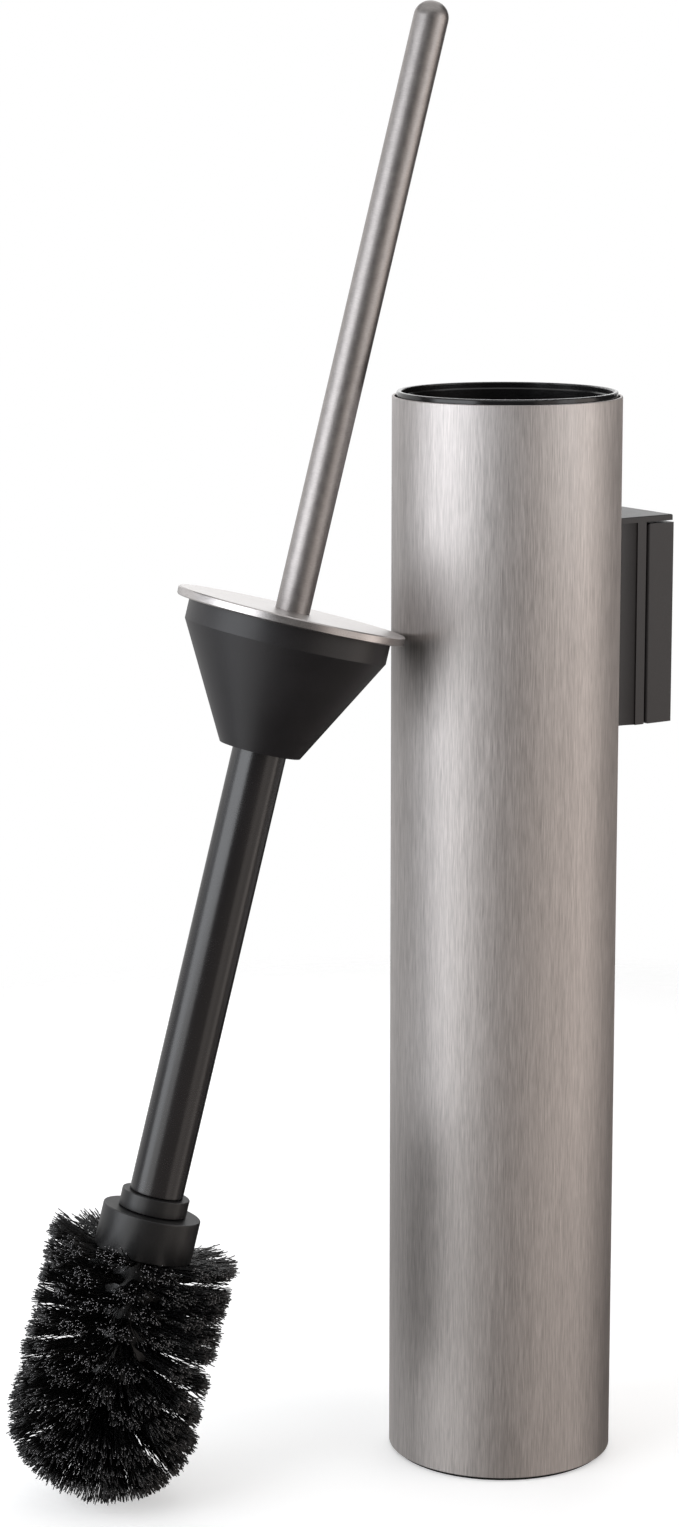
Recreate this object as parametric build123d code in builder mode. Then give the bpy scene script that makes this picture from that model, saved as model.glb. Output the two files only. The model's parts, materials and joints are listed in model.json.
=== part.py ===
from build123d import *
import os
from math import cos, radians, sin, sqrt

# A slim round toilet brush holder with its brush standing outside it, leaning on the tube.
# Frame: the origin is the centre of the underside, +Z is up and the wall is on the +Y side.
# All sizes are in millimetres.

# ---------------------------------------------------------------- holder tube and base
tube_radius = 40.0
tube_wall = 1.0
tube_length = 380.0
tube_edge_round = 0.3
pad_radius = 38.6
pad_height = 2.4
pad_proud = 1.2  # how far the pad stands below the tube's lower edge
base_thickness = 1.2
base_flange_height = 8.0
base_corner_round = 1.0
pad_chamfer = 0.3

tube_bore = tube_radius - tube_wall
tube_bottom = pad_proud
tube_top = tube_bottom + tube_length

# ---------------------------------------------------------------- lift-out liner
liner_bore = 35.8
liner_wall = 1.3
liner_floor = 1.6
rim_radius = 38.4
rim_bore = 36.7
rim_proud = 1.7  # how far the rim stands above the tube
rim_ledge_depth = 2.0
rim_ledge_chamfer = 0.4
rim_skirt = 14.0
liner_foot_gap = 0.2
liner_foot_round = 5.4
liner_floor_round = 4.0
rim_edge_round = 0.5

# ---------------------------------------------------------------- wall bracket
bracket_width = 38.0
bracket_bottom = 263.9
bracket_top = 338.0
neck_half_width = 17.0
flare_half_width = 18.3
saddle_start = 31.0  # from here on, distances from the tube's axis towards the wall
flare_start = 37.0
flange_front = 43.4
flange_back = 47.2
cap_thickness = 2.1
cap_back = 58.9
plate_front = 48.0
plate_back = 59.4
plate_top = 335.2
plate_edge_round = 1.0
saddle_clearance = 0.05
cap_edge_round = 0.5

# The housing's dovetail tongue slides in the wall plate's groove.
tongue_root_half_width = 8.0
tongue_tip_half_width = 10.4
tongue_back = 51.9
tongue_bottom = 274.0
groove_clearance = 0.4

# Two welded studs hold the housing on the tube.
stud_radius = 2.0
stud_spacing = 34.0
stud_weld_depth = 0.4
stud_end = 51.0
stud_end_chamfer = 0.4
stud_hole_radius = 2.3
stud_pocket_radius = 5.2
stud_pocket_floor = 46.0
washer_radius = 4.5
washer_bore_radius = 2.15
washer_thickness = 0.8
nut_thickness = 3.2
nut_corner_radius = 4.04
thread_gap = 0.02

wall_screw_spacing = 40.0
wall_screw_radius = 2.2
wall_screw_sink_radius = 4.3

bracket_height = bracket_top - bracket_bottom
bracket_middle = (bracket_top + bracket_bottom) / 2
half_width = bracket_width / 2

# ---------------------------------------------------------------- brush
# Stations along the brush run from the lid's top face: positive towards the handle's tip.
lid_radius = 39.8
lid_thickness = 3.0
lid_chamfer = 0.4
handle_radius = 6.0
handle_wall = 1.2
handle_length = 211.0
handle_tip_round = 5.7
insert_length = 16.0

cone_band_radius = 35.3
cone_band_bottom = -10.5
cone_tip_radius = 14.2
cone_bottom = -49.0
cone_wall = 2.0
cone_hub_radius = 6.0
cone_floor = 3.0

stem_radius = 9.4
stem_wall = 1.5
stem_chamfer = 0.4
stem_bottom = -207.6
plug_length = 20.0

ferrule_radius = 11.9
ferrule_height = 6.0
ferrule_edge_round = 0.3
collar_radius = 17.2
collar_height = 15.0
collar_edge_round = 0.5
head_gap = 0.3  # between the ferrule and the collar that turns against it
core_radius = 10.0
core_end = -296.0
core_tip_round = 6.0

tie_stud_radius = 2.95
tie_stud_top = 13.0
tie_stud_bottom = -66.0
tie_hole_radius = 3.1
stud_tip_gap = 1.0  # between each stud's end and the bottom of its threaded hole
stud_chamfer = 0.5
head_stud_radius = 3.95
head_stud_top = -192.0
head_stud_bottom = -236.0
head_bore_radius = 4.0
head_bore_bottom = -237.5

bristle_radius = 33.6
bristle_top = -222.0
bristle_shoulder = 3.5
bristle_dome_start = -290.3
bristle_dome_height = 28.0
bristle_gap = 0.2

# The brush leans on the tube in a vertical plane through the tube's axis.
lean = radians(14.2)
lean_heading = radians(77.5)
lean_gap = 1.0
floor_gap = 0.3

lid_distance = tube_radius + lean_gap + lid_radius * cos(lean)
dome_reach = sqrt((bristle_dome_height * cos(lean)) ** 2 + (bristle_radius * sin(lean)) ** 2)
lid_height = floor_gap + dome_reach - bristle_dome_start * cos(lean)
lid_centre = Vector(-lid_distance * cos(lean_heading), -lid_distance * sin(lean_heading), lid_height)
brush_up = Vector(sin(lean) * cos(lean_heading), sin(lean) * sin(lean_heading), cos(lean))
brush_side = Vector(cos(lean) * cos(lean_heading), cos(lean) * sin(lean_heading), -sin(lean))
brush_axis = Axis(lid_centre, brush_up)
# In this plane x is the distance from the brush's axis and y is the station along it.
brush_section = Plane(origin=lid_centre, x_dir=brush_side, z_dir=brush_side.cross(brush_up))

os.makedirs("parts", exist_ok=True)


# ================================================================ holder
with BuildPart() as outer_tube:
    with BuildSketch(Plane.XY.offset(tube_bottom)):
        Circle(tube_radius)
        Circle(tube_bore, mode=Mode.SUBTRACT)
    extrude(amount=tube_length)
    fillet(outer_tube.edges().filter_by(GeomType.CIRCLE), tube_edge_round)

# A pressed cup closes the tube's lower end, with its flange turned up inside the tube.
with BuildPart() as base_cup:
    with BuildSketch(Plane.XZ):
        with BuildLine():
            Polyline(
                (0, pad_height),
                (tube_bore, pad_height),
                (tube_bore, pad_height + base_flange_height),
                (tube_bore - base_thickness, pad_height + base_flange_height),
                (tube_bore - base_thickness, pad_height + base_thickness),
                (0, pad_height + base_thickness),
                close=True,
            )
        make_face()
    revolve(axis=Axis.Z)
    fillet(base_cup.edges().filter_by(GeomType.CIRCLE).group_by(Axis.Z)[0], base_corner_round)

with BuildPart() as base_pad:
    with BuildSketch():
        Circle(pad_radius)
    extrude(amount=pad_height)
    chamfer(base_pad.edges().filter_by(GeomType.CIRCLE).group_by(Axis.Z)[0], pad_chamfer)

# The liner is a full-depth plastic cup that stands on the base cup.
liner_bottom = pad_height + base_thickness + liner_foot_gap
liner_top = tube_top + rim_proud
liner_outer = liner_bore + liner_wall
with BuildPart() as liner:
    with BuildSketch(Plane.XZ):
        with BuildLine():
            Polyline(
                (0, liner_bottom),
                (liner_outer, liner_bottom),
                (liner_outer, liner_top - rim_skirt),
                (rim_radius, liner_top - rim_skirt + 2 * liner_wall),
                (rim_radius, liner_top),
                (rim_bore, liner_top),
                (rim_bore, liner_top - rim_ledge_depth),
                (liner_bore + rim_ledge_chamfer, liner_top - rim_ledge_depth),
                (liner_bore, liner_top - rim_ledge_depth - rim_ledge_chamfer),
                (liner_bore, liner_bottom + liner_floor),
                (0, liner_bottom + liner_floor),
                close=True,
            )
        make_face()
    revolve(axis=Axis.Z)
    fillet(liner.edges().filter_by(GeomType.CIRCLE).group_by(Axis.Z)[-1], rim_edge_round)
    fillet(liner.edges().filter_by(GeomType.CIRCLE).group_by(Axis.Z)[1], liner_floor_round)
    fillet(liner.edges().filter_by(GeomType.CIRCLE).group_by(Axis.Z)[0], liner_foot_round)


# ================================================================ wall bracket
stud_heights = (bracket_middle - stud_spacing / 2, bracket_middle + stud_spacing / 2)

with BuildPart() as bracket_housing:
    # neck against the tube, flaring out to the flange
    with BuildSketch(Plane.XY.offset(bracket_bottom)):
        with BuildLine():
            Line((0, saddle_start), (neck_half_width, saddle_start))
            Line((neck_half_width, saddle_start), (neck_half_width, flare_start))
            TangentArc((neck_half_width, flare_start), (flare_half_width, flange_front), tangent=(0, 1))
            Polyline(
                (flare_half_width, flange_front),
                (half_width, flange_front),
                (half_width, flange_back),
                (0, flange_back),
            )
            mirror(about=Plane.YZ)
        make_face()
    extrude(amount=bracket_height)
    # cap over the wall plate
    with BuildSketch(Plane.XY.offset(bracket_top - cap_thickness)):
        with Locations((0, (saddle_start + cap_back) / 2)):
            Rectangle(bracket_width, cap_back - saddle_start)
    extrude(amount=cap_thickness)
    # dovetail tongue
    with BuildSketch(Plane.XY.offset(tongue_bottom)):
        with BuildLine():
            Polyline(
                (-tongue_root_half_width, flange_back),
                (tongue_root_half_width, flange_back),
                (tongue_tip_half_width, tongue_back),
                (-tongue_tip_half_width, tongue_back),
                close=True,
            )
        make_face()
    extrude(amount=bracket_top - tongue_bottom)
    # saddle that fits the tube
    with BuildSketch(Plane.XY.offset(bracket_bottom)):
        Circle(tube_radius + saddle_clearance)
    extrude(amount=bracket_height, mode=Mode.SUBTRACT)
    # stud holes, with a pocket for each washer and nut
    with BuildSketch(Plane.XZ.offset(-flare_start)):
        with Locations(*[(0, z) for z in stud_heights]):
            Circle(stud_hole_radius)
    extrude(amount=flare_start - tongue_back, mode=Mode.SUBTRACT)
    with BuildSketch(Plane.XZ.offset(-stud_pocket_floor)):
        with Locations(*[(0, z) for z in stud_heights]):
            Circle(stud_pocket_radius)
    extrude(amount=stud_pocket_floor - tongue_back, mode=Mode.SUBTRACT)
    cap_back_edges = bracket_housing.faces().sort_by(Axis.Z)[-1].edges().filter_by(GeomType.LINE)
    fillet(cap_back_edges, cap_edge_round)

groove_half_width = tongue_root_half_width + groove_clearance
groove_slope = (tongue_tip_half_width - tongue_root_half_width) / (tongue_back - flange_back)
groove_floor = tongue_back + groove_clearance
groove_mouth_half = groove_half_width + groove_slope * (plate_front - flange_back)
groove_floor_half = groove_half_width + groove_slope * (groove_floor - flange_back)
plate_height = plate_top - bracket_bottom

with BuildPart() as wall_plate:
    with BuildSketch(Plane.XY.offset(bracket_bottom)):
        with Locations((0, (plate_front + plate_back) / 2)):
            Rectangle(bracket_width, plate_back - plate_front)
    extrude(amount=plate_height)
    fillet(wall_plate.faces().sort_by(Axis.Y)[0].edges(), plate_edge_round)
    with BuildSketch(Plane.XY.offset(tongue_bottom - groove_clearance)):
        with BuildLine():
            Polyline(
                (-groove_mouth_half, plate_front),
                (groove_mouth_half, plate_front),
                (groove_floor_half, groove_floor),
                (-groove_floor_half, groove_floor),
                close=True,
            )
        make_face()
    extrude(amount=plate_height, mode=Mode.SUBTRACT)
    for offset_z in (-wall_screw_spacing / 2, wall_screw_spacing / 2):
        hole_place = Plane(origin=(0, groove_floor, bracket_middle + offset_z), z_dir=(0, -1, 0))
        with Locations(hole_place):
            CounterSinkHole(wall_screw_radius, wall_screw_sink_radius, depth=plate_back - groove_floor)

with BuildPart() as bracket_studs:
    with BuildSketch(Plane.XZ.offset(-(tube_radius - stud_weld_depth))):
        with Locations(*[(0, z) for z in stud_heights]):
            Circle(stud_radius)
    extrude(amount=tube_radius - stud_weld_depth - stud_end)
    chamfer(bracket_studs.edges().filter_by(GeomType.CIRCLE).group_by(Axis.Y)[-1], stud_end_chamfer)

with BuildPart() as bracket_washers:
    with BuildSketch(Plane.XZ.offset(-stud_pocket_floor)):
        with Locations(*[(0, z) for z in stud_heights]):
            Circle(washer_radius)
            Circle(washer_bore_radius, mode=Mode.SUBTRACT)
    extrude(amount=-washer_thickness)

nut_seat = stud_pocket_floor + washer_thickness
with BuildPart() as bracket_nuts:
    with BuildSketch(Plane.XZ.offset(-nut_seat)):
        with Locations(*[(0, z) for z in stud_heights]):
            RegularPolygon(radius=nut_corner_radius, side_count=6)
            Circle(stud_radius + thread_gap, mode=Mode.SUBTRACT)
    extrude(amount=-nut_thickness)


# ================================================================ brush, handle side
with BuildPart() as handle_tube:
    with BuildSketch(brush_section):
        with BuildLine():
            Line((handle_radius, 0), (handle_radius, handle_length - handle_tip_round))
            TangentArc(
                (handle_radius, handle_length - handle_tip_round),
                (handle_radius - handle_tip_round, handle_length),
                tangent=(0, 1),
            )
            Polyline(
                (handle_radius - handle_tip_round, handle_length),
                (0, handle_length),
                (0, handle_length - 2 * handle_wall),
                (handle_radius - handle_wall, handle_length - handle_tip_round - handle_wall),
                (handle_radius - handle_wall, 0),
                (handle_radius, 0),
            )
        make_face()
    revolve(axis=brush_axis)

insert_bore = tie_stud_radius + thread_gap
insert_outer = handle_radius - handle_wall
with BuildPart() as handle_insert:
    with BuildSketch(brush_section):
        with Locations(((insert_bore + insert_outer) / 2, insert_length / 2)):
            Rectangle(insert_outer - insert_bore, insert_length)
    revolve(axis=brush_axis)

with BuildPart() as lid:
    with BuildSketch(brush_section):
        with BuildLine():
            Polyline(
                (tie_hole_radius, 0),
                (lid_radius - lid_chamfer, 0),
                (lid_radius, -lid_chamfer),
                (lid_radius, lid_chamfer - lid_thickness),
                (lid_radius - lid_chamfer, -lid_thickness),
                (tie_hole_radius, -lid_thickness),
                close=True,
            )
        make_face()
    revolve(axis=brush_axis)

# The splash cone is a hollow moulding that plugs the liner's mouth under the lid.
with BuildPart() as splash_cone:
    with BuildSketch(brush_section) as cone_profile:
        with BuildLine():
            Polyline(
                (cone_band_radius, -lid_thickness),
                (cone_band_radius, cone_band_bottom),
                (cone_tip_radius, cone_bottom),
                (tie_hole_radius, cone_bottom),
                (tie_hole_radius, -lid_thickness),
                (cone_hub_radius, -lid_thickness),
                (cone_hub_radius, cone_bottom + cone_floor),
                (cone_tip_radius - cone_wall, cone_bottom + cone_floor),
                (cone_band_radius - cone_wall, cone_band_bottom),
                (cone_band_radius - cone_wall, -lid_thickness),
                close=True,
            )
        make_face()
    revolve(axis=brush_axis)

with BuildPart() as tie_stud:
    with BuildSketch(brush_section):
        with Locations((tie_stud_radius / 2, (tie_stud_top + tie_stud_bottom) / 2)):
            Rectangle(tie_stud_radius, tie_stud_top - tie_stud_bottom)
    revolve(axis=brush_axis)
    chamfer(tie_stud.edges().filter_by(GeomType.CIRCLE), stud_chamfer)

with BuildPart() as stem:
    with BuildSketch(brush_section):
        with Locations((stem_radius - stem_wall / 2, (cone_bottom + stem_bottom) / 2)):
            Rectangle(stem_wall, cone_bottom - stem_bottom)
    revolve(axis=brush_axis)
    chamfer(stem.edges().filter_by(GeomType.CIRCLE).group_by(brush_axis)[0], stem_chamfer)

stem_bore = stem_radius - stem_wall
with BuildPart() as stem_top_plug:
    with BuildSketch(brush_section):
        with BuildLine():
            Polyline(
                (tie_stud_radius + thread_gap, cone_bottom),
                (stem_bore, cone_bottom),
                (stem_bore, cone_bottom - plug_length),
                (0, cone_bottom - plug_length),
                (0, tie_stud_bottom - stud_tip_gap),
                (tie_stud_radius + thread_gap, tie_stud_bottom - stud_tip_gap),
                close=True,
            )
        make_face()
    revolve(axis=brush_axis)

with BuildPart() as stem_bottom_plug:
    with BuildSketch(brush_section):
        with BuildLine():
            Polyline(
                (head_stud_radius + thread_gap, stem_bottom),
                (stem_bore, stem_bottom),
                (stem_bore, stem_bottom + plug_length),
                (0, stem_bottom + plug_length),
                (0, head_stud_top + stud_tip_gap),
                (head_stud_radius + thread_gap, head_stud_top + stud_tip_gap),
                close=True,
            )
        make_face()
    revolve(axis=brush_axis)

ferrule_bottom = stem_bottom - ferrule_height
ferrule_bore = head_stud_radius + thread_gap
with BuildPart() as stem_ferrule:
    with BuildSketch(brush_section):
        with Locations(((ferrule_bore + ferrule_radius) / 2, (stem_bottom + ferrule_bottom) / 2)):
            Rectangle(ferrule_radius - ferrule_bore, ferrule_height)
    revolve(axis=brush_axis)
    fillet(stem_ferrule.edges().filter_by(GeomType.CIRCLE).sort_by(SortBy.RADIUS)[-2:], ferrule_edge_round)

with BuildPart() as head_stud:
    with BuildSketch(brush_section):
        with Locations((head_stud_radius / 2, (head_stud_top + head_stud_bottom) / 2)):
            Rectangle(head_stud_radius, head_stud_top - head_stud_bottom)
    revolve(axis=brush_axis)
    chamfer(head_stud.edges().filter_by(GeomType.CIRCLE), stud_chamfer)


# ================================================================ screw-on brush head
collar_top = ferrule_bottom - head_gap
collar_bottom = collar_top - collar_height
with BuildPart() as head_core:
    with BuildSketch(brush_section):
        with BuildLine():
            Polyline(
                (head_bore_radius, collar_top),
                (collar_radius, collar_top),
                (collar_radius, collar_bottom),
                (core_radius, collar_bottom),
                (core_radius, core_end),
                (0, core_end),
                (0, head_bore_bottom),
                (head_bore_radius, head_bore_bottom),
                close=True,
            )
        make_face()
    revolve(axis=brush_axis)
    fillet(head_core.edges().filter_by(GeomType.CIRCLE).group_by(brush_axis)[0], core_tip_round)
    fillet(head_core.edges().filter_by(GeomType.CIRCLE).sort_by(SortBy.RADIUS)[-2:], collar_edge_round)

# One plain solid stands for all the filaments around the core.
bristle_bore = core_radius + bristle_gap
with BuildPart() as bristles:
    with BuildSketch(brush_section):
        with BuildLine():
            Polyline(
                (bristle_bore, collar_bottom - bristle_gap),
                (collar_radius + bristle_gap, collar_bottom - bristle_gap),
                (collar_radius + bristle_gap, bristle_top - bristle_gap),
                (bristle_radius - bristle_shoulder, bristle_top),
                (bristle_radius, bristle_top - bristle_shoulder),
                (bristle_radius, bristle_dome_start),
            )
            EllipticalCenterArc(
                (0, bristle_dome_start),
                bristle_radius,
                bristle_dome_height,
                start_angle=270,
                arc_size=90,
            )
            Polyline(
                (0, bristle_dome_start - bristle_dome_height),
                (0, core_end - bristle_gap),
                (bristle_bore - core_tip_round, core_end - bristle_gap),
            )
            TangentArc(
                (bristle_bore - core_tip_round, core_end - bristle_gap),
                (bristle_bore, core_end - bristle_gap + core_tip_round),
                tangent=(1, 0),
            )
            Line(
                (bristle_bore, core_end - bristle_gap + core_tip_round),
                (bristle_bore, collar_bottom - bristle_gap),
            )
        make_face()
    revolve(axis=brush_axis)


pieces = {
    "outer_tube": outer_tube,
    "base_cup": base_cup,
    "base_pad": base_pad,
    "liner": liner,
    "bracket_housing": bracket_housing,
    "bracket_studs": bracket_studs,
    "bracket_washers": bracket_washers,
    "bracket_nuts": bracket_nuts,
    "wall_plate": wall_plate,
    "handle_tube": handle_tube,
    "handle_insert": handle_insert,
    "lid": lid,
    "splash_cone": splash_cone,
    "tie_stud": tie_stud,
    "stem": stem,
    "stem_top_plug": stem_top_plug,
    "stem_bottom_plug": stem_bottom_plug,
    "stem_ferrule": stem_ferrule,
    "head_stud": head_stud,
    "head_core": head_core,
    "bristles": bristles,
}
for name, piece in pieces.items():
    piece.part.label = name
    export_step(piece.part, f"parts/{name}.step")
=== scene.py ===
import bpy
import json
import math
import numpy as np
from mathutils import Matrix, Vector


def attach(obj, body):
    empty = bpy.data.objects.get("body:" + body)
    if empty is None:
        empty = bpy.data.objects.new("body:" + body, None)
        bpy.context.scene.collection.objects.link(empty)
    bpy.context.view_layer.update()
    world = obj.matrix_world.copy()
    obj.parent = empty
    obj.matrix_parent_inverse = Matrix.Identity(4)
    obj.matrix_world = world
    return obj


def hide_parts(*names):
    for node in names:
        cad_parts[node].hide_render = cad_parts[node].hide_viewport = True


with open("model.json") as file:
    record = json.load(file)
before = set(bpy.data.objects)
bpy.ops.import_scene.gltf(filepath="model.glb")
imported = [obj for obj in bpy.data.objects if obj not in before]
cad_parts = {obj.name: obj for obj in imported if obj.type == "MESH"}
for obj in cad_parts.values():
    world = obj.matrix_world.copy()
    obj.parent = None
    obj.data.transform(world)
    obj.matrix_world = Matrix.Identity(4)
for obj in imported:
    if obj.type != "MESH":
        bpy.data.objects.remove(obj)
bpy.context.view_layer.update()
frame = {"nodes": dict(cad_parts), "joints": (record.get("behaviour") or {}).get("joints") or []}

MM = 0.001
random = np.random.default_rng(11)


# ---------------------------------------------------------------- places from the frame
def joint(name):
    return next(j for j in frame["joints"] if j["name"] == name)


def basis(up):
    """Two directions across up, which together with it make a right-handed set."""
    side = Vector((0, 0, 1)).cross(up).normalized()
    return side, up.cross(side)


# The brush's axis, from the joint that the head turns on, which stands at the ferrule's lower face.
brush_up = Vector(joint("head_unscrew")["axis"]).normalized()
head_top = Vector(joint("head_unscrew")["pos_m"])
brush_side, brush_front = basis(brush_up)
brush_turn = brush_up.rotation_difference(Vector((0, 0, 1))).to_matrix()


# ---------------------------------------------------------------- node helpers
class Shader:
    """A material's node tree, with short calls for the nodes that the materials here share."""

    def __init__(self, name, along_brush=False):
        self.material = bpy.data.materials.new(name)
        self.material.use_nodes = True
        self.tree = self.material.node_tree
        self.principled = self.tree.nodes["Principled BSDF"]
        coords = self.node("ShaderNodeTexCoord").outputs["Object"]
        if along_brush:
            turned = self.node("ShaderNodeMapping")
            turned.inputs["Rotation"].default_value = brush_turn.to_euler()
            turned.inputs["Location"].default_value = -(brush_turn @ head_top)
            self.link(coords, turned.inputs["Vector"])
            coords = turned.outputs["Vector"]
        self.coords = coords

    def node(self, kind, **values):
        made = self.tree.nodes.new(kind)
        for key, value in values.items():
            setattr(made, key, value)
        return made

    def link(self, output, socket):
        self.tree.links.new(output, socket)

    def set(self, **values):
        """Sets the surface's own sockets, by name with _ for a space."""
        for key, value in values.items():
            self.principled.inputs[key.replace("_", " ")].default_value = value

    def noise(self, scale, detail=2.0, roughness=0.5):
        """Noise whose scale is given along X, Y and Z, in cycles per millimetre."""
        stretch = self.node("ShaderNodeMapping")
        stretch.inputs["Scale"].default_value = tuple(s / MM for s in scale)
        self.link(self.coords, stretch.inputs["Vector"])
        made = self.node("ShaderNodeTexNoise")
        made.inputs["Scale"].default_value = 1.0
        made.inputs["Detail"].default_value = detail
        made.inputs["Roughness"].default_value = roughness
        self.link(stretch.outputs["Vector"], made.inputs["Vector"])
        return made.outputs["Fac"]

    def math(self, operation, a, b):
        """One sum or product of two outputs or numbers."""
        made = self.node("ShaderNodeMath", operation=operation)
        for socket, value in zip(made.inputs, (a, b)):
            if isinstance(value, (int, float)):
                socket.default_value = value
            else:
                self.link(value, socket)
        return made.outputs[0]

    def spread(self, value, low, high, start=0.3, end=0.7):
        """value between start and end becomes low to high."""
        made = self.node("ShaderNodeMapRange")
        for key, number in (("From Min", start), ("From Max", end), ("To Min", low), ("To Max", high)):
            made.inputs[key].default_value = number
        self.link(value, made.inputs["Value"])
        return made.outputs["Result"]

    def ramp(self, value, stops):
        """value becomes a colour, by stops of (place, colour)."""
        made = self.node("ShaderNodeValToRGB")
        elements = made.color_ramp.elements
        for element, (place, colour) in zip(elements, (stops[0], stops[-1])):
            element.position = place
            element.color = (*colour, 1)
        for place, colour in stops[1:-1]:
            element = elements.new(place)
            element.color = (*colour, 1)
        self.link(value, made.inputs["Fac"])
        return made.outputs["Color"]

    def bump(self, height, distance):
        """Turns height into relief that is distance millimetres deep."""
        made = self.node("ShaderNodeBump")
        made.inputs["Strength"].default_value = 1.0
        made.inputs["Distance"].default_value = distance * MM
        self.link(height, made.inputs["Height"])
        self.link(made.outputs["Normal"], self.principled.inputs["Normal"])


def three_tones(base, spread):
    """A darker, a plain and a lighter tone of one colour."""
    return [tuple(channel * (1 + k * spread) for channel in base) for k in (-1, 0, 1)]


# ---------------------------------------------------------------- metals
def brushed_tube():
    """Stainless steel with a vertical grain."""
    shade = Shader("brushed_tube")
    hair = shade.noise((3.4, 3.4, 0.1), detail=2, roughness=0.8)
    streak = shade.noise((0.7, 0.7, 0.03), detail=2, roughness=0.55)
    cloud = shade.noise((0.12, 0.12, 0.006), detail=2)
    grain = shade.math("ADD", shade.math("MULTIPLY", hair, 0.72), shade.math("MULTIPLY", streak, 0.16))
    grain = shade.math("ADD", grain, shade.math("MULTIPLY", cloud, 0.12))
    dark, plain, light = three_tones((0.51, 0.48, 0.468), 0.25)
    colour = shade.ramp(grain, [(0.36, dark), (0.5, plain), (0.64, light)])
    shade.link(colour, shade.principled.inputs["Base Color"])
    shade.link(shade.spread(grain, 0.36, 0.46), shade.principled.inputs["Roughness"])
    tangent = shade.node("ShaderNodeTangent", direction_type="RADIAL", axis="Z")
    shade.link(tangent.outputs["Tangent"], shade.principled.inputs["Tangent"])
    shade.set(Metallic=1.0, Anisotropic=0.8)
    shade.bump(grain, 0.05)
    return shade.material


def satin_handle():
    """Satin steel, polished round the handle."""
    shade = Shader("satin_handle", along_brush=True)
    turned = shade.noise((0.5, 0.5, 5.0), detail=3, roughness=0.6)
    patch = shade.noise((0.5, 0.5, 0.25), detail=3)
    grain = shade.math("ADD", shade.math("MULTIPLY", turned, 0.6), shade.math("MULTIPLY", patch, 0.4))
    dark, plain, light = three_tones((0.355, 0.332, 0.322), 0.14)
    colour = shade.ramp(grain, [(0.38, dark), (0.5, plain), (0.62, light)])
    shade.link(colour, shade.principled.inputs["Base Color"])
    shade.link(shade.spread(grain, 0.40, 0.48), shade.principled.inputs["Roughness"])
    shade.set(Metallic=1.0)
    shade.bump(grain, 0.03)
    return shade.material


def brushed_lid():
    """Steel with a straight grain across the disc."""
    shade = Shader("brushed_lid", along_brush=True)
    hair = shade.noise((0.05, 3.0, 3.0), detail=4, roughness=0.6)
    cloud = shade.noise((0.03, 0.15, 0.15), detail=2)
    grain = shade.math("ADD", shade.math("MULTIPLY", hair, 0.7), shade.math("MULTIPLY", cloud, 0.3))
    dark, plain, light = three_tones((0.50, 0.475, 0.465), 0.12)
    colour = shade.ramp(grain, [(0.38, dark), (0.5, plain), (0.62, light)])
    shade.link(colour, shade.principled.inputs["Base Color"])
    shade.link(shade.spread(grain, 0.26, 0.38), shade.principled.inputs["Roughness"])
    shade.set(Metallic=1.0)
    shade.bump(grain, 0.03)
    return shade.material


def plated(name, base, roughness):
    """Zinc or brass, with the slight mottling of a plated or turned part."""
    shade = Shader(name)
    mottle = shade.noise((0.5, 0.5, 0.5), detail=4, roughness=0.6)
    dark, plain, light = three_tones(base, 0.12)
    colour = shade.ramp(mottle, [(0.38, dark), (0.5, plain), (0.62, light)])
    shade.link(colour, shade.principled.inputs["Base Color"])
    varied = shade.spread(mottle, roughness - 0.05, roughness + 0.08)
    shade.link(varied, shade.principled.inputs["Roughness"])
    shade.set(Metallic=1.0)
    shade.bump(mottle, 0.02)
    return shade.material


# ---------------------------------------------------------------- plastics, lacquer and foam
def moulded(name, base, roughness, grain_size, grain_depth, along_brush=False, specular=0.5):
    """A black finish with a fine even texture and slightly paler patches. The grain is in mm."""
    shade = Shader(name, along_brush=along_brush)
    fine = 1 / grain_size
    texture = shade.noise((fine, fine, fine), detail=2)
    patch = shade.noise((0.06, 0.06, 0.06), detail=3)
    mixed = shade.math("ADD", shade.math("MULTIPLY", texture, 0.5), shade.math("MULTIPLY", patch, 0.5))
    dark, plain, light = three_tones(base, 0.2)
    colour = shade.ramp(mixed, [(0.38, dark), (0.5, plain), (0.62, light)])
    shade.link(colour, shade.principled.inputs["Base Color"])
    varied = shade.spread(mixed, roughness - 0.04, roughness + 0.05)
    shade.link(varied, shade.principled.inputs["Roughness"])
    shade.set(Specular_IOR_Level=specular)
    shade.bump(texture, grain_depth)
    return shade.material


def painted_glint_ends():
    """The cut ends of the filaments, paler than their sides: the pale grey is a painted highlight for the
    glint on the glossy tips.
    """
    shade = Shader("bristle_ends_painted_glint", along_brush=True)
    clump = shade.noise((1.5, 1.5, 1.5), detail=2)
    # Painted highlight: the ends' pale grey stands in for the light that the glossy tips catch.
    dark, plain, light = three_tones((0.32, 0.31, 0.32), 0.5)
    colour = shade.ramp(clump, [(0.35, dark), (0.5, plain), (0.65, light)])
    shade.link(colour, shade.principled.inputs["Base Color"])
    shade.link(shade.spread(clump, 0.35, 0.6), shade.principled.inputs["Roughness"])
    return shade.material


def filament():
    """Black nylon, with the slight differences from one filament to the next."""
    shade = Shader("bristle_nylon", along_brush=True)
    clump = shade.noise((0.6, 0.6, 0.6), detail=3)
    dark, plain, light = three_tones((0.007, 0.0068, 0.007), 0.5)
    colour = shade.ramp(clump, [(0.35, dark), (0.5, plain), (0.65, light)])
    shade.link(colour, shade.principled.inputs["Base Color"])
    shade.link(shade.spread(clump, 0.22, 0.38), shade.principled.inputs["Roughness"])
    return shade.material


def paint(node, material):
    mesh = frame["nodes"][node].data
    mesh.materials.clear()
    mesh.materials.append(material)


def on_brush(name, base, roughness, grain_size, grain_depth, specular=0.5):
    """A moulded or lacquered black whose texture follows the leaning brush."""
    return moulded(name, base, roughness, grain_size, grain_depth, True, specular)


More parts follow.
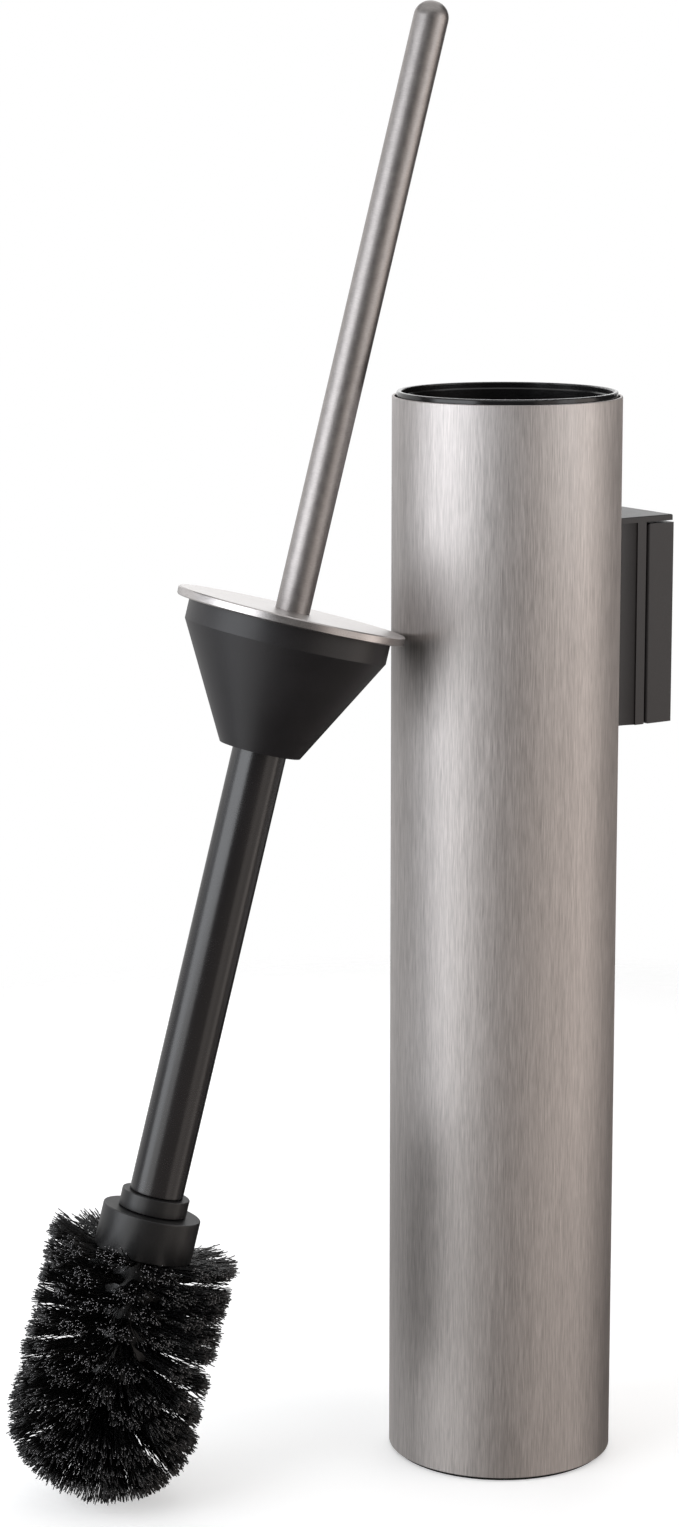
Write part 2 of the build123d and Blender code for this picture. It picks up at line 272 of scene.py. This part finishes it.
def paint_cad():
    zinc = plated("zinc", (0.55, 0.55, 0.56), 0.35)
    brass = plated("brass", (0.62, 0.47, 0.22), 0.3)
    tube_steel = brushed_tube()
    powder = moulded("bracket_powder", (0.0195, 0.0180, 0.0195), 0.42, 0.35, 0.03)
    finishes = {
        "outer_tube": tube_steel,
        "base_cup": tube_steel,
        "base_pad": moulded("pad_foam", (0.012, 0.012, 0.012), 0.85, 0.6, 0.08),
        "liner": moulded("liner_plastic", (0.009, 0.0087, 0.009), 0.2, 0.8, 0.001),
        "bracket_housing": powder,
        "wall_plate": powder,
        "bracket_studs": zinc,
        "bracket_washers": zinc,
        "bracket_nuts": zinc,
        "tie_stud": zinc,
        "head_stud": zinc,
        "handle_insert": brass,
        "stem_top_plug": brass,
        "stem_bottom_plug": brass,
        "handle_tube": satin_handle(),
        "lid": brushed_lid(),
        "splash_cone": on_brush("cone_plastic", (0.0133, 0.0119, 0.0130), 0.42, 0.5, 0.012),
        "stem": on_brush("stem_lacquer", (0.008, 0.0066, 0.0072), 0.25, 0.3, 0.002, specular=0.72),
        "stem_ferrule": on_brush("ferrule_plastic", (0.012, 0.0117, 0.012), 0.34, 0.4, 0.01),
        "head_core": on_brush("head_plastic", (0.011, 0.0107, 0.011), 0.36, 0.5, 0.012),
    }
    for node, material in finishes.items():
        paint(node, material)


# ---------------------------------------------------------------- bristles
# All in millimetres. Stations run along the axis from head_top, negative towards the tip.
CORE_RADIUS = 10.0
ROOT_DEPTH = 1.5  # how far inside the core the filaments start
FIRST_RING = -17.8
RING_STEP = 7.0
RINGS = 10
TUFTS_IN_RING = 12
FIRST_TUFT = math.radians(19)  # where the first ring starts, round the axis
FIRST_TILT = 10.0  # degrees that the first ring leans towards the handle
TILT_CHANGE = 48.0  # degrees between the first ring's lean and the last one's
TILT_POWER = 1.3
FILAMENTS_IN_TUFT = 68
FILAMENT_RADIUS = 0.19
FILAMENT_SIDES = 3
HOLE_RADIUS = 2.0  # of the hole that a tuft fills
WAVE_LENGTH = 5.0  # of the crimp
WAVE_HEIGHT = 0.32
POINTS_PER_WAVE = 2.7
OUTER_RADIUS = 33.2
DOME_START = -290.3 + 213.6  # stations from the lid of the dome's start and of head_top
DOME_HEIGHT = 27.6
END_RINGS = ((7, -79.5, -60), (3, -82.5, -80))  # how many tufts, their station and tilt in degrees
END_FILAMENTS = 50
END_SPLAY = 0.2
TUFT_SPLAY = 0.18  # how far a tuft's outermost filaments lean apart, for each mm of length
LONGEST = 48  # before trimming
SHORTEST = 3
TRIM_STEP = 0.25
TRIM_SPREAD = 0.45  # how unevenly the ends are cut
BOW = 1.5  # how far a filament's end bends aside
STRAY = 0.04  # how far a filament leans away from its place in the tuft, for each mm of length
TILT_SPREAD = 0.06  # radians, of whole tufts
ANGLE_SPREAD = 0.035  # radians round the core, of whole tufts


def envelope(station):
    """The radius that the filaments are trimmed to at a station along the axis."""
    if station >= DOME_START:
        return OUTER_RADIUS
    depth = min((DOME_START - station) / DOME_HEIGHT, 1.0)
    return OUTER_RADIUS * math.sqrt(max(1 - depth * depth, 0.0))


def trim_length(root, direction):
    """How far a filament runs from root before it leaves the trimmed shape."""
    reach = LONGEST
    while reach > 2:
        tip = root + direction * reach
        inside = math.hypot(tip[0], tip[1]) <= envelope(tip[2])
        if inside and DOME_START - DOME_HEIGHT < tip[2] < FIRST_RING + 10:
            return reach
        reach -= TRIM_STEP
    return 2.0


def filament_line(root, direction, length):
    """A crimped filament's centre line, as an array of points in the head's own axes."""
    count = max(int(length / WAVE_LENGTH * POINTS_PER_WAVE), 6)
    along = np.linspace(0, 1, count)
    across = np.cross(direction, (0.3, 0.2, 0.9))
    across /= np.linalg.norm(across)
    second = np.cross(direction, across)
    turn = random.uniform(0, 2 * math.pi)
    phase = random.uniform(0, 2 * math.pi)
    wave = np.sin(along * length / WAVE_LENGTH * 2 * math.pi + phase) * WAVE_HEIGHT
    wave *= np.clip(along * 4, 0, 1)
    bow = (along ** 2) * random.normal(0, BOW)
    heading = across * math.cos(turn) + second * math.sin(turn)
    other = across * -math.sin(turn) + second * math.cos(turn)
    return root + np.outer(along * length, direction) + np.outer(wave, heading) + np.outer(bow, other)


def tube_mesh(lines, radius):
    """Vertices and faces of thin closed tubes along the lines, and which faces are their outer ends."""
    sides = FILAMENT_SIDES
    vertices = []
    faces = []
    ends = []
    base = 0
    angles = np.arange(sides) * 2 * math.pi / sides
    for line in lines:
        along = np.gradient(line, axis=0)
        along /= np.linalg.norm(along, axis=1)[:, None]
        across = np.cross(along, (0.21, 0.35, 0.91))
        across /= np.linalg.norm(across, axis=1)[:, None]
        second = np.cross(along, across)
        ring = np.cos(angles)[None, :, None] * across[:, None]
        ring = ring + np.sin(angles)[None, :, None] * second[:, None]
        vertices.append((line[:, None] + ring * radius).reshape(-1, 3))
        count = len(line)
        for k in range(count - 1):
            for i in range(sides):
                j = (i + 1) % sides
                faces.append((
                    base + k * sides + i,
                    base + k * sides + j,
                    base + (k + 1) * sides + j,
                    base + (k + 1) * sides + i,
                ))
        faces.append(tuple(base + i for i in reversed(range(sides))))
        ends.append(len(faces))
        faces.append(tuple(base + (count - 1) * sides + i for i in range(sides)))
        base += count * sides
    return np.concatenate(vertices), faces, ends


def tuft(angle, station, tilt, splay, filaments):
    """The centre lines of one tuft. tilt is how far it leans towards the handle, in radians."""
    out = np.array((math.cos(angle), math.sin(angle), 0.0))
    round_core = np.array((-math.sin(angle), math.cos(angle), 0.0))
    axis = np.array((0.0, 0.0, 1.0))
    lean = out * math.cos(tilt) + axis * math.sin(tilt)
    steep = np.cross(round_core, lean)
    lines = []
    for _ in range(filaments):
        offset = math.sqrt(random.uniform(0, 1))
        turn = random.uniform(0, 2 * math.pi)
        u, v = offset * math.cos(turn), offset * math.sin(turn)
        root = out * (CORE_RADIUS - ROOT_DEPTH) + axis * station + (round_core * u + axis * v) * HOLE_RADIUS
        spread = random.normal(0, STRAY, 2)
        direction = lean + round_core * (u * splay + spread[0]) - steep * (-v * splay + spread[1])
        direction /= np.linalg.norm(direction)
        length = trim_length(root, direction) + random.normal(0, TRIM_SPREAD)
        lines.append(filament_line(root, direction, max(length, SHORTEST)))
    return lines


def to_row(points):
    """From the head's own axes, in mm, to the row frame, in metres."""
    turn = np.array((brush_side, brush_front, brush_up))
    return np.array(head_top) + (points * MM) @ turn


def bristle_piece(name, lines, side_material, painted_glint_material):
    points, faces, ends = tube_mesh(lines, FILAMENT_RADIUS)
    mesh = bpy.data.meshes.new(name)
    mesh.from_pydata(to_row(points).tolist(), [], faces)
    materials = np.zeros(len(faces), np.int32)
    # The outer end faces get the second material, whose pale grey is a painted highlight.
    materials[ends] = 1
    mesh.materials.append(side_material)
    mesh.materials.append(painted_glint_material)
    mesh.polygons.foreach_set("material_index", materials)
    mesh.polygons.foreach_set("use_smooth", materials == 0)
    piece = bpy.data.objects.new(name, mesh)
    bpy.context.scene.collection.objects.link(piece)
    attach(piece, "brush_head")
    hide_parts("bristles")
    return piece


def make_bristles():
    nylon = filament()
    # The cut ends get a pale grey material, a painted highlight on the filament tips.
    ends = painted_glint_ends()
    groups = {"bristles_top": [], "bristles_upper": [], "bristles_lower": [], "bristles_end": []}
    names = list(groups)
    for ring in range(RINGS):
        station = FIRST_RING - ring * RING_STEP
        place = ring / (RINGS - 1)
        tilt = math.radians(FIRST_TILT - TILT_CHANGE * place ** TILT_POWER)
        for k in range(TUFTS_IN_RING):
            angle = FIRST_TUFT + 2 * math.pi * (k + 0.5 * (ring % 2)) / TUFTS_IN_RING
            leaning = tilt + random.normal(0, TILT_SPREAD)
            angle += random.normal(0, ANGLE_SPREAD)
            lines = tuft(angle, station, leaning, TUFT_SPLAY, FILAMENTS_IN_TUFT)
            groups[names[ring * 4 // RINGS]] += lines
    for count, station, tilt in END_RINGS:
        for k in range(count):
            angle = FIRST_TUFT + 2 * math.pi * (k + 0.3) / count
            groups["bristles_end"] += tuft(angle, station, math.radians(tilt), END_SPLAY, END_FILAMENTS)
    for name, lines in groups.items():
        bristle_piece(name, lines, nylon, ends)


# ---------------------------------------------------------------- floor, light and camera
FLOOR_RADIUS = 0.47
FLOOR_PLAIN_RADIUS = 0.38
FLOOR_GLOW = 0.45  # lifts the floor to the white behind it, for the camera only
FLOOR_BACK = 0.30  # how far the floor's middle lies behind the tube, as the camera sees it


def make_floor():
    """A white disc that fades into the white behind it, wide enough for the object's shadows."""
    bpy.ops.mesh.primitive_circle_add(vertices=128, radius=FLOOR_RADIUS, fill_type="TRIFAN")
    floor = bpy.context.object
    floor.name = "floor"
    floor.location = (-FLOOR_BACK * math.cos(camera_heading), -FLOOR_BACK * math.sin(camera_heading), 0)
    shade = Shader("floor_white")
    cloud = shade.noise((0.002, 0.002, 0.002), detail=2)
    colour = shade.ramp(cloud, [(0.3, (0.78, 0.78, 0.78)), (0.7, (0.80, 0.80, 0.80))])
    shade.link(colour, shade.principled.inputs["Base Color"])
    shade.set(Roughness=0.9, Specular_IOR_Level=0.1)
    shade.set(Emission_Color=(1, 1, 1, 1))
    seen = shade.node("ShaderNodeLightPath").outputs["Is Camera Ray"]
    shade.link(shade.math("MULTIPLY", seen, FLOOR_GLOW), shade.principled.inputs["Emission Strength"])
    reach = shade.node("ShaderNodeVectorMath", operation="LENGTH")
    shade.link(shade.coords, reach.inputs[0])
    fade = shade.spread(reach.outputs["Value"], 0.0, 1.0, FLOOR_PLAIN_RADIUS, FLOOR_RADIUS * 0.98)
    clear = shade.node("ShaderNodeBsdfTransparent")
    mix = shade.node("ShaderNodeMixShader")
    shade.link(fade, mix.inputs[0])
    shade.link(shade.principled.outputs[0], mix.inputs[1])
    shade.link(clear.outputs[0], mix.inputs[2])
    shade.link(mix.outputs[0], shade.tree.nodes["Material Output"].inputs["Surface"])
    floor.data.materials.append(shade.material)
    floor.visible_glossy = False


camera_heading = math.radians(-36.4)
camera_distance = 1.2678
camera_height = 0.4881
camera_pitch = math.radians(10.577)
camera_yaw = math.radians(56.225)
camera_lens = 86.15


def make_camera():
    data = bpy.data.cameras.new("camera")
    data.lens = camera_lens
    data.sensor_width = 36
    camera = bpy.data.objects.new("camera", data)
    camera.location = (
        camera_distance * math.cos(camera_heading),
        camera_distance * math.sin(camera_heading),
        camera_height,
    )
    camera.rotation_euler = (math.pi / 2 - camera_pitch, 0, camera_yaw)
    bpy.context.scene.collection.objects.link(camera)
    bpy.context.scene.camera = camera


def make_light(name, start, end, low, high, distance, radiance, colour):
    """An upright softbox between two headings and two heights, in metres.

    Headings are in degrees from the camera's direction, positive to the picture's right.
    """
    data = bpy.data.lights.new(name, "AREA")
    data.shape = "RECTANGLE"
    data.size = 2 * distance * math.tan(math.radians(end - start) / 2)
    data.size_y = high - low
    data.energy = radiance * math.pi * data.size * data.size_y
    data.color = colour
    light = bpy.data.objects.new(name, data)
    turn = camera_heading + math.radians(start + end) / 2
    light.location = (distance * math.cos(turn), distance * math.sin(turn), (low + high) / 2)
    inwards = Vector((-math.cos(turn), -math.sin(turn), 0))
    light.rotation_euler = inwards.to_track_quat("-Z", "Y").to_euler()
    light.visible_camera = False
    bpy.context.scene.collection.objects.link(light)


def make_top_light():
    data = bpy.data.lights.new("softbox_top", "AREA")
    data.size = 1.9
    data.energy = 0.8 * math.pi * data.size ** 2
    light = bpy.data.objects.new("softbox_top", data)
    light.location = (0, 0, 1.4)
    light.visible_camera = False
    bpy.context.scene.collection.objects.link(light)


COOL = (0.97, 1.0, 1.04)
PLAIN = (1.0, 1.0, 1.0)
WARM = (1.0, 0.91, 0.85)


def make_lights():
    for name, start, end, low, high, distance, radiance, colour in (
        ("left_near_high", -55, -32, 0.25, 0.8, 0.75, 3.3, COOL),
        ("left_near_low", -55, -32, -0.12, 0.25, 0.75, 1.5, PLAIN),
        ("left_far_high", -78, -55, 0.25, 0.8, 0.75, 3.0, COOL),
        ("left_far_low", -78, -55, -0.12, 0.25, 0.75, 2.7, COOL),
        ("left_bottom", -78, -32, -0.5, -0.12, 0.75, 1.15, PLAIN),
        ("left_side_high", -102, -78, 0.25, 0.8, 0.75, 0.9, COOL),
        ("left_side_low", -102, -78, -0.12, 0.25, 0.75, 0.4, COOL),
        ("right_near", 30, 53, -0.5, 0.8, 0.75, 0.78, WARM),
        ("right_middle_high", 53, 76, 0.25, 0.8, 0.75, 2.1, PLAIN),
        ("right_middle_low", 53, 76, -0.5, 0.25, 0.75, 0.6, WARM),
        ("right_far", 76, 101, -0.12, 0.8, 0.75, 1.55, WARM),
        ("right_bottom", 76, 101, -0.5, -0.12, 0.75, 0.9, WARM),
        ("front_low", -31, 31, -1.3, 0.15, 1.4, 0.25, WARM),
        ("front_high", -31, 31, 0.15, 1.5, 1.4, 0.08, PLAIN),
        ("back_left_high", -158, -102, 0.3, 1.0, 0.9, 1.0, PLAIN),
        ("back_left_low", -158, -102, -0.5, 0.3, 0.9, 0.6, PLAIN),
        ("back", 158, 202, 0.3, 1.3, 0.9, 1.5, PLAIN),
    ):
        make_light(name, start, end, low, high, distance, radiance, colour)
    make_top_light()


def make_world():
    """White behind the object, and a dim studio all round it."""
    world = bpy.data.worlds.new("studio")
    world.use_nodes = True
    tree = world.node_tree
    dim = tree.nodes["Background"]
    dim.inputs["Color"].default_value = (0.03, 0.03, 0.03, 1)
    white = tree.nodes.new("ShaderNodeBackground")
    white.inputs["Color"].default_value = (1, 1, 1, 1)
    path = tree.nodes.new("ShaderNodeLightPath")
    mix = tree.nodes.new("ShaderNodeMixShader")
    tree.links.new(path.outputs["Is Camera Ray"], mix.inputs[0])
    tree.links.new(dim.outputs[0], mix.inputs[1])
    tree.links.new(white.outputs[0], mix.inputs[2])
    tree.links.new(mix.outputs[0], tree.nodes["World Output"].inputs["Surface"])
    bpy.context.scene.world = world


bpy.context.scene.view_settings.view_transform = "Standard"
make_camera()
make_world()
make_lights()
make_floor()
paint_cad()
make_bristles()
